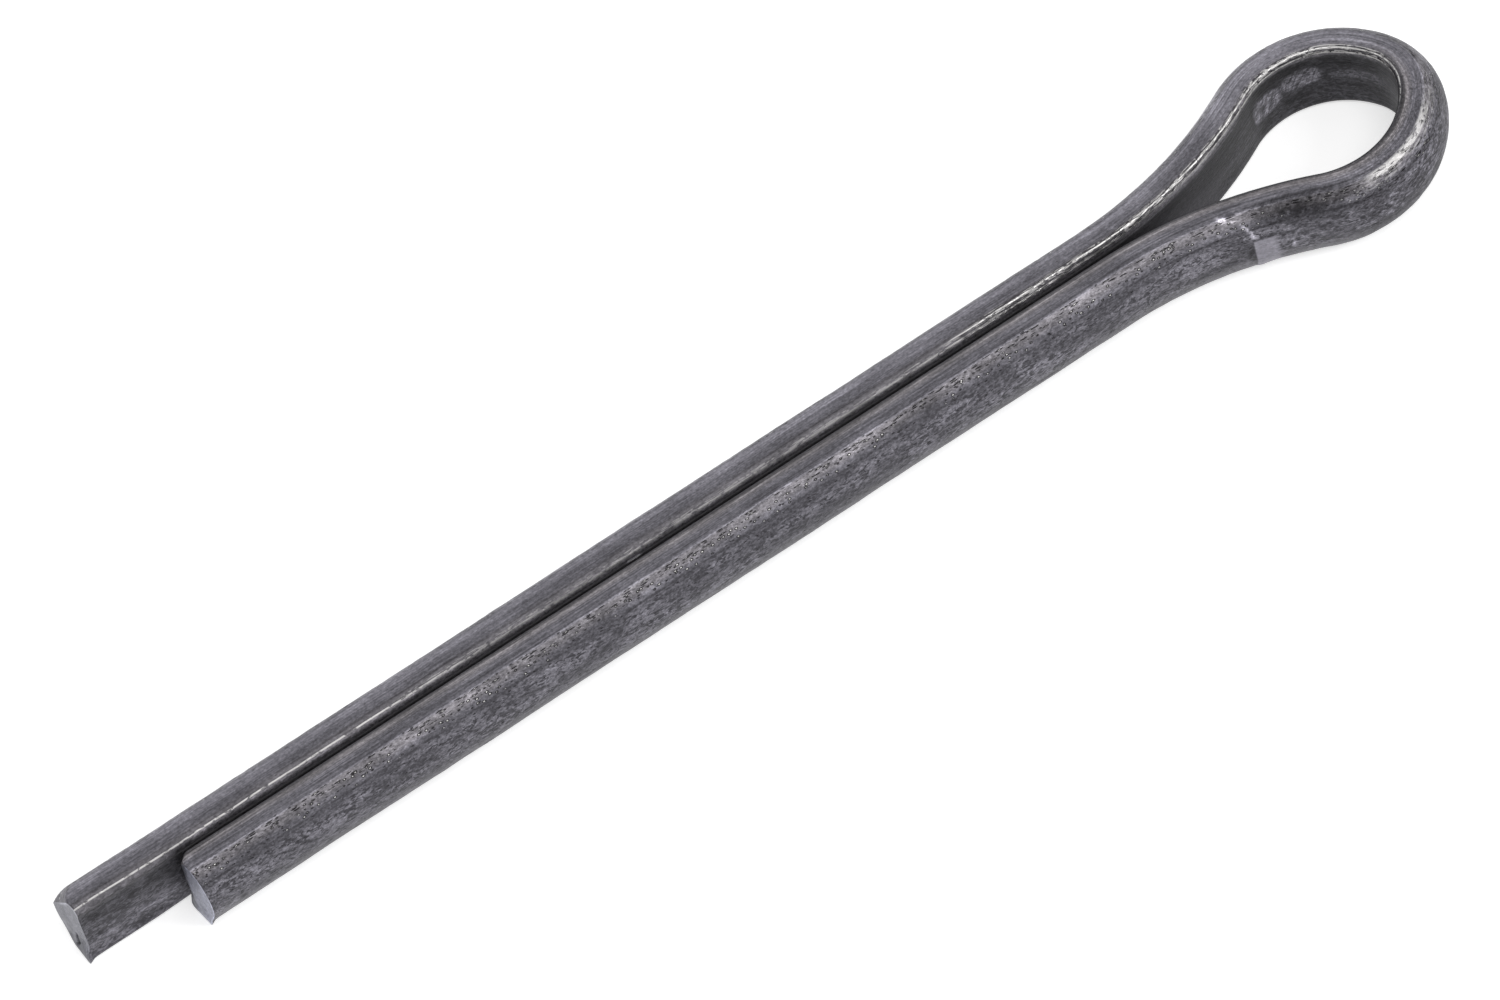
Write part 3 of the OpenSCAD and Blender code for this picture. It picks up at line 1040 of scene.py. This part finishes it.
@dataclass
class SplitPin:
    """The whole pin: one wire, swept, worn, marked and cut."""

    section: WireSection = WIRE
    path: FoldedPath = FoldedPath()
    finish: DullSteel = DullSteel()
    short_end: ShearedEnd = ShearedEnd(Corner.INNER_TOP, 31)
    long_end: ShearedEnd = ShearedEnd(Corner.OUTER_TOP, 32, sharp=0.12)
    step_at: float = -16.3
    step_height: float = 0.11
    ridge_wear: float = 0.05
    eye_wear: float = 0.07
    gap_wear: float = 0.08
    edge_lip: float = 0.035
    squeezed_lip: float = 0.13
    seam: float = 6.1

    def build(self) -> bpy.types.Object:
        """Makes the pin and returns its object."""
        points, outward, walked = self.path.trace(self.section.thickness)
        _, tip_x, tip_r = self.path.centres()
        reach = tip_x + tip_r + self.section.thickness
        points = points + np.array([(self.path.long_leg - reach) / 2, 0.0])
        swept = self.sweep(points, self.finish.material())
        half = sum(length for _, _, length in self.path.half(self.section.thickness))
        rings = self.unroll(swept.data, points, outward, walked - self.path.short_leg - half)
        self.wear(rings)
        self.form(rings)
        self.cut(rings)
        self.write(swept.data, rings)
        return swept

    def sweep(self, points: np.ndarray, material: bpy.types.Material) -> bpy.types.Object:
        """Sweeps the section along the folded path.

        Args:
            points: Points of the path, in the row frame.
            material: The finish of the wire.

        Returns:
            A plain mesh object at the origin.
        """
        line = bpy.data.meshes.new("pin_path")
        steps = [(i, i + 1) for i in range(len(points) - 1)]
        line.from_pydata([(x * MM, y * MM, 0.0) for x, y in points], steps, [])
        guide = new_object("pin_path", line)
        tree = SweepTree()
        modifier = guide.modifiers.new("sweep", "NODES")
        modifier.node_group = tree.group
        for name, value in zip(SweepTree.SIZES, astuple(self.section)):
            modifier[tree.identifiers[name]] = value * MM
        modifier[tree.identifiers["Finish"]] = material
        graph = bpy.context.evaluated_depsgraph_get()
        mesh = bpy.data.meshes.new_from_object(guide.evaluated_get(graph), depsgraph=graph)
        bpy.data.objects.remove(guide)
        return new_object("pin_wire", mesh)

    def unroll(self, mesh: bpy.types.Mesh, points: np.ndarray, outward: np.ndarray, t: np.ndarray) -> Rings:
        """Reads the swept mesh as rings of spokes.

        Args:
            mesh: The swept wire.
            points: Points of the path.
            outward: Outward directions along the path.
            t: Places along the wire, from the middle of the tip.

        Returns:
            The rings, whose spokes run from the top ridge down the outer side.
        """
        count = len(mesh.vertices)
        co, ring, spoke = np.empty(count * 3), np.empty(count), np.empty(count)
        mesh.vertices.foreach_get("co", co)
        mesh.attributes["ring"].data.foreach_get("value", ring)
        mesh.attributes["spoke"].data.foreach_get("value", spoke)
        ring, spoke = np.rint(ring).astype(int), np.rint(spoke).astype(int)
        grid = np.empty((ring.max() + 1, spoke.max() + 1, 3))
        grid[ring, spoke] = co.reshape(-1, 3) / MM
        a, z = np.einsum("rsk,rk->rs", grid[:, :, :2] - points[:, None, :], outward), grid[:, :, 2]
        mean_a, mean_z = a.mean(0), z.mean(0)
        ridge = int(np.argmin(np.hypot(mean_a - self.section.flat_width, mean_z - self.section.height)))
        turn = (ridge - np.arange(len(mean_a))) % len(mean_a)
        closed = np.append(turn, ridge)
        gaps = np.hypot(np.diff(mean_a[closed]), np.diff(mean_z[closed]))
        girth = float(gaps.sum())
        u = np.concatenate([[0.0], np.cumsum(gaps)[:-1]])
        u = np.where(u > self.seam, u - girth, u)
        turn, u = turn[np.argsort(u)], np.sort(u)
        nothing = np.zeros((len(t), len(u)))
        return Rings(points, outward, t, u, girth, a[:, turn], z[:, turn], nothing.copy(), nothing.copy())

    def wear(self, rings: Rings) -> None:
        """Gives the wire its skin: waves, shallow pits, a rounded ridge and the corner worn in the gap.

        Args:
            rings: The swept wire, which is changed.
        """
        t, u = rings.t[:, None], rings.u[None, :]
        grain = {name: kind.at(t, u, rings.girth) for name, kind in SKIN_GRAINS.items()}
        outer = smooth((u + 0.15) / 0.3) * smooth((5.6 - u) / 0.3)
        inner = smooth((-1.3 - u) / 0.3)
        height = outer * (grain["waves"] + grain["dimples"] + grain["tooth"])
        height += grain["drawn"] + inner * grain["inner"]
        eye = smooth((13.0 - np.abs(t)) / 5.0)
        height -= self.ridge_wear * bump(u, 0.0, 0.4) * (1.0 + grain["ridge"])
        height -= self.eye_wear * eye * bump(u, 0.05, 1.0)
        for pits in OUTER_PITS:
            height += pits.at(rings.t, rings.u)
        late = smooth((t - 22.0) / 16.0)
        height += self.edge_lip * smooth((t + 12.0) / 6.0) * (1.0 - late) * bump(u, -1.375, 0.40)
        height += self.squeezed_lip * smooth((t - 17.0) / 12.0) * bump(u, -1.85, 0.45)
        self.raise_skin(rings, height)
        corner = smooth((-9.0 - t) / 6.0) * smooth((rings.z - 2.6) / 1.6) * smooth((0.75 - rings.a) / 0.75)
        rings.a += self.gap_wear * corner

    def form(self, rings: Rings) -> None:
        """Adds the forming tool's step and the single marks.

        Args:
            rings: The worn wire, which is changed.
        """
        t, u = rings.t[:, None], rings.u[None, :]
        ragged = RAGGED.at(t, u, rings.girth)
        past = t - self.step_at
        step = smooth(past / 0.2) * smooth(1.0 - past / 1.9)
        height = self.step_height * (step * smooth((u - 1.7) / 0.4) * smooth((5.0 - u) / 0.6))
        for mark in FORMING_MARKS + WEB_SCRATCHES + EYE_SCUFFS + LEG_MARKS:
            share = mark.at(t + ragged, u + ragged)
            height += mark.height * share
            rings.stain_and_light += mark.stain_and_light * share
        self.raise_skin(rings, height)

    def raise_skin(self, rings: Rings, height: np.ndarray) -> None:
        """Moves the skin along its normals by the heights."""
        da = np.roll(rings.a, -1, 1) - np.roll(rings.a, 1, 1)
        dz = np.roll(rings.z, -1, 1) - np.roll(rings.z, 1, 1)
        size = np.hypot(da, dz)
        rings.a, rings.z = rings.a - dz / size * height, rings.z + da / size * height

    def cut(self, rings: Rings) -> None:
        """Shears both ends, and keeps the wire inside its own height and reach.

        Args:
            rings: The worn and marked wire, which is changed.
        """
        ends = ((self.long_end, rings.t[-1] - rings.t, -1.0), (self.short_end, rings.t - rings.t[0], 1.0))
        for end, gone, sign in ends:
            rings.a, rings.z = end.shear(gone, rings.a, rings.z)
            near = np.clip(1.0 - gone / end.run_in, 0.0, 1.0)[:, None]
            rings.shift += sign * end.back(rings.a, rings.z) * near**2
        rings.z = np.clip(rings.z, 0.0, self.section.height)
        rings.a = np.minimum(rings.a, self.section.thickness)

    def write(self, mesh: bpy.types.Mesh, rings: Rings) -> None:
        """Writes the rings back as a closed mesh with its cut faces, its unrolled map and its stains.

        Args:
            mesh: The mesh to write.
            rings: The worn wire.
        """
        ahead = np.stack([-rings.outward[:, 1], rings.outward[:, 0]], 1)
        rows = [(i, rings.a[i], rings.z[i], rings.shift[i], rings.stain_and_light[i]) for i in range(len(rings.t))]
        last = len(rings.t) - 1
        for end, index, sign in ((self.short_end, 0, 1.0), (self.long_end, last, -1.0)):
            face = end.face(rings.a[index], rings.z[index])[1:]
            made = [(index, a, z, sign * back, stain_and_light) for a, z, back, stain_and_light in face]
            rows = made[::-1] + rows if index == 0 else rows + made
        places, chart, face_chart, stains = [], [], [], []
        for i, a, z, shift, stain_and_light in rows:
            flat = rings.points[i] + rings.outward[i] * a[:, None] + ahead[i] * shift[:, None]
            places.append(np.column_stack([flat, z]))
            chart.append(np.column_stack([np.full(len(a), rings.t[i]), rings.u]))
            face_chart.append(np.column_stack([np.sign(rings.t[i]) * (FACE_ALONG + z), FACE_AROUND + a]))
            stains.append(stain_and_light)
        index = np.arange(len(rows) * len(rings.u)).reshape(len(rows), -1)
        following = np.roll(index, -1, 1)
        quads = np.stack([index[:-1], following[:-1], following[1:], index[1:]], -1).reshape(-1, 4)
        mesh.clear_geometry()
        mesh.from_pydata((np.concatenate(places) * MM).tolist(), [], quads.tolist())
        strip = np.arange(len(rows) - 1)
        on_face = (strip < self.short_end.rings) | (strip >= len(rows) - 1 - self.long_end.rings)
        cut = np.repeat(on_face, len(rings.u))
        loops = np.concatenate(chart)[quads.reshape(-1)].reshape(-1, 4, 2)
        loops[cut] = np.concatenate(face_chart)[quads[cut].reshape(-1)].reshape(-1, 4, 2)
        wrap = ~cut & (loops[:, :, 1].max(1) - loops[:, :, 1].min(1) > rings.girth / 2)
        loops[wrap, :, 1] += np.where(loops[wrap, :, 1] < 0, rings.girth, 0.0)
        mesh.uv_layers.new(name=CHART).data.foreach_set("uv", (loops * CHART_PER_MM).ravel())
        mesh.attributes.new(STAIN_AND_LIGHT, "FLOAT", "POINT").data.foreach_set("value", np.concatenate(stains))
        close_ends(mesh)
        mesh.polygons.foreach_set("use_smooth", np.ones(len(mesh.polygons), bool))
        mesh.update()


def close_ends(mesh: bpy.types.Mesh) -> None:
    """Merges the poles in the end faces, and turns every face outwards."""
    work = bmesh.new()
    work.from_mesh(mesh)
    bmesh.ops.remove_doubles(work, verts=work.verts, dist=POLE * MM)
    bmesh.ops.recalc_face_normals(work, faces=work.faces)
    work.to_mesh(mesh)
    work.free()


# ---------------------------------------------------------------- studio


@dataclass(frozen=True)
class Lamp:
    """Square soft lamp that faces the pin, in metres and watts."""

    name: str
    place: tuple[float, float, float]
    side: float
    watts: float

    def build(self) -> None:
        """Makes the lamp."""
        data = bpy.data.lights.new(self.name, "AREA")
        data.size, data.energy = self.side, self.watts
        lamp = new_object(self.name, data)
        lamp.location = self.place
        lamp.rotation_euler = (-Vector(self.place)).to_track_quat("-Z", "Y").to_euler()


@dataclass(frozen=True)
class Studio:
    """Pale floor, soft lamps and a white world, in metres. The floor lies a hair under the pin."""

    floor_side: float = 6.0
    floor_top: float = -0.02 * MM
    world_strength: float = 0.45
    lamps: tuple[Lamp, ...] = (
        Lamp("key_lamp", (0.60, -0.60, 0.55), 0.34, 3.2),
        Lamp("top_lamp", (0.10, -0.45, 1.05), 0.6, 3.6),
        Lamp("back_lamp", (0.20, 1.0, 0.40), 0.7, 2.0),
    )

    def build(self) -> None:
        """Makes the floor, the world and the lamps."""
        half = self.floor_side / 2
        mesh = bpy.data.meshes.new("floor")
        corners = [(x * half, y * half, self.floor_top) for x, y in ((-1, -1), (1, -1), (1, 1), (-1, 1))]
        mesh.from_pydata(corners, [], [(0, 1, 2, 3)])
        mesh.materials.append(PaleFloor().material())
        new_object("floor", mesh)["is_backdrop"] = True
        self.world()
        for lamp in self.lamps:
            lamp.build()

    def world(self) -> None:
        """Sets a plain soft world, white where the camera or a mirror-like surface sees it."""
        world = bpy.data.worlds.new("soft_room")
        world.use_nodes = True
        bpy.context.scene.world = world
        t = Tree(world.node_tree)
        back = world.node_tree.nodes["Background"].inputs
        t.feed(back["Strength"], t.largest(t.seen(), self.world_strength))
        back["Color"].default_value = WHITE


@dataclass(frozen=True)
class PhotoCamera:
    """Camera at the photograph's place, in millimetres. Its clip distances are in metres."""

    place: tuple[float, float, float] = (-108.8728, -300.7219, 429.7818)
    forward: tuple[float, float, float] = (0.20244351, 0.56416787, -0.8004569)
    right: tuple[float, float, float] = (0.82216414, -0.54198574, -0.17406202)
    lens: float = 236.8241
    sensor: float = 36.0
    clip: tuple[float, float] = (0.01, 20.0)

    def build(self) -> None:
        """Makes the camera and gives it to the scene."""
        data = bpy.data.cameras.new("photo_camera")
        data.lens, data.sensor_width = self.lens, self.sensor
        data.clip_start, data.clip_end = self.clip
        camera = new_object("photo_camera", data)
        forward, right = Vector(self.forward).normalized(), Vector(self.right)
        right = (right - forward * right.dot(forward)).normalized()
        up = right.cross(forward)
        turn = Matrix((right, up, -forward)).transposed()
        camera.matrix_world = Matrix.Translation(Vector(self.place) * MM) @ turn.to_4x4()
        bpy.context.scene.camera = camera


def corners(box: tuple[Vector, Vector]) -> list[list[float]]:
    """Turns a box into plain lists of numbers."""
    return [list(map(float, corner)) for corner in box]


def main() -> None:
    """Builds the camera, the studio and the pin."""
    logging.basicConfig(level=logging.INFO, format="%(name)s: %(message)s")
    cad_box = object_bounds()
    bpy.context.scene.view_settings.view_transform = "Standard"
    PhotoCamera().build()
    Studio().build()
    pin = SplitPin().build()
    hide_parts("split_pin")
    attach(pin, "root")
    log.info("%s: %d faces", pin.name, len(pin.data.polygons))
    {"cad": corners(cad_box), "visual": corners(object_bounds())}


if __name__ == "__main__":
    main()
